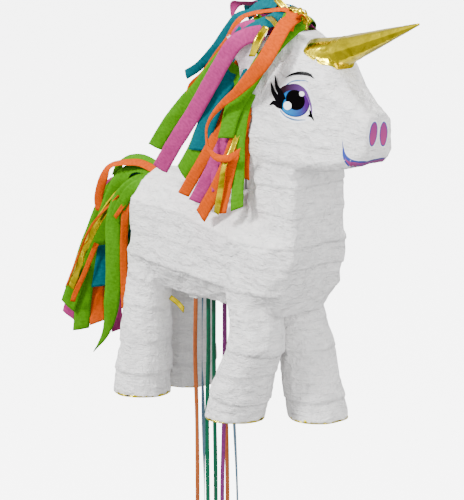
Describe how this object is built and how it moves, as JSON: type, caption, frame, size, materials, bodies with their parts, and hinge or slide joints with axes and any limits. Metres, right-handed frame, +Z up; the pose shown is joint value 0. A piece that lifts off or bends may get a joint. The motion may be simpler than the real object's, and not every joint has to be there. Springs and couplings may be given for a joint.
{
  "type": "pull-string pinata",
  "caption": "Hanging papered-card unicorn pinata with a belly trap door, pull ribbons, a fill flap, a foil horn and a crepe-strip mane and tail.",
  "frame": {"origin": "inside the top of the wire hanging loop, where the hook bears", "axes": "+X towards the animal's nose, +Y to its left, +Z up along the hanging cord"},
  "size_m": [0.6001, 0.1478, 0.8989],
  "materials": {
    "paper": "matt white crepe paper glued over card, slightly crinkled",
    "gold_foil": "bright gold foil laminated on card",
    "sticker": "printed, satin",
    "crepe_green": "matt crepe strips",
    "crepe_orange": "matt crepe strips",
    "crepe_pink": "matt crepe strips",
    "crepe_teal": "matt crepe strips",
    "ribbon_orange": "satin curling ribbon",
    "ribbon_blue": "satin curling ribbon",
    "ribbon_green": "satin curling ribbon",
    "ribbon_magenta": "satin curling ribbon",
    "wire": "bright steel wire",
    "kraft_card": "plain brown card",
    "tape": "paper tape"
  },
  "bodies": {
    "body": {"rump_cap": "paper", "side_panel_right": "paper", "side_panel_left_rear": "paper", "side_panel_left_front": "paper", "loin_panel_right": "paper", "loin_panel_left": "paper", "back_panel": "paper", "flank_panel_right": "paper", "flank_panel_left": "paper", "belly_panel_rear": "paper", "belly_panel_front": "paper", "shoulder_panel_right": "paper", "shoulder_panel_left": "paper", "brisket_panel": "paper", "chest_panel": "paper", "neck_side_right": "paper", "neck_side_left": "paper", "neck_back": "paper", "cheek_right": "paper", "cheek_left": "paper", "crown_panel": "paper", "jaw_panel": "paper", "muzzle_cap": "paper", "back_of_head": "paper", "leg_hind_right": "paper", "leg_hind_left": "paper", "leg_front_right": "paper", "leg_front_left": "paper", "ear_right": "paper", "ear_left": "paper", "horn": "gold_foil", "sole_hind_right": "gold_foil", "sole_hind_left": "gold_foil", "sole_front_right": "gold_foil", "sole_front_left": "gold_foil", "eye_sticker_right": "sticker", "eye_sticker_left": "sticker", "nostril_sticker_right": "sticker", "nostril_sticker_left": "sticker", "mouth_sticker": "sticker", "forelock": "crepe_orange", "mane_crest": "crepe_green", "mane_right": "crepe_pink", "mane_left": "crepe_teal", "tail": "crepe_green", "hanging_loop": "wire", "loop_washer": "kraft_card", "anchor_tape": "tape"},
    "trap_door": {"belly_door": "paper", "release_tab": "tape"},
    "release_ribbon": {"release_ribbon": "ribbon_magenta"},
    "fill_flap": {"fill_flap": "paper"},
    "decoy_ribbon_1": {"decoy_ribbon_1": "ribbon_orange"},
    "decoy_ribbon_2": {"decoy_ribbon_2": "ribbon_blue"},
    "decoy_ribbon_3": {"decoy_ribbon_3": "ribbon_green"},
    "decoy_ribbon_4": {"decoy_ribbon_4": "ribbon_green"},
    "decoy_ribbon_5": {"decoy_ribbon_5": "ribbon_orange"},
    "decoy_ribbon_6": {"decoy_ribbon_6": "ribbon_blue"}
  },
  "joints": [
    {"name": "trap_door_hinge", "type": "hinge", "parent": "body", "child": "trap_door", "pos_m": [-0.003, 0, -0.166], "axis": [0, -1, 0], "range_deg": [0, 90]},
    {"name": "release_ribbon_swing", "type": "hinge", "parent": "trap_door", "child": "release_ribbon", "pos_m": [-0.062, 0.01, -0.1705], "axis": [0, -1, 0], "range_deg": [-90, 0]},
    {"name": "fill_flap_hinge", "type": "hinge", "parent": "body", "child": "fill_flap", "pos_m": [-0.022, 0.062, -0.0705], "axis": [0.9877, 0, -0.1566], "range_deg": [0, 110]},
    {"name": "decoy_ribbon_1_pull", "type": "slide", "parent": "body", "child": "decoy_ribbon_1", "axis": [0, 0, -1], "range_m": [0, 0.12]},
    {"name": "decoy_ribbon_2_pull", "type": "slide", "parent": "body", "child": "decoy_ribbon_2", "axis": [0, 0, -1], "range_m": [0, 0.12]},
    {"name": "decoy_ribbon_3_pull", "type": "slide", "parent": "body", "child": "decoy_ribbon_3", "axis": [0, 0, -1], "range_m": [0, 0.12]},
    {"name": "decoy_ribbon_4_pull", "type": "slide", "parent": "body", "child": "decoy_ribbon_4", "axis": [0, 0, -1], "range_m": [0, 0.12]},
    {"name": "decoy_ribbon_5_pull", "type": "slide", "parent": "body", "child": "decoy_ribbon_5", "axis": [0, 0, -1], "range_m": [0, 0.12]},
    {"name": "decoy_ribbon_6_pull", "type": "slide", "parent": "body", "child": "decoy_ribbon_6", "axis": [0, 0, -1], "range_m": [0, 0.12]}
  ],
  "couplings": [
    {"joint": "release_ribbon_swing", "follows": "trap_door_hinge", "ratio": -1}
  ]
}
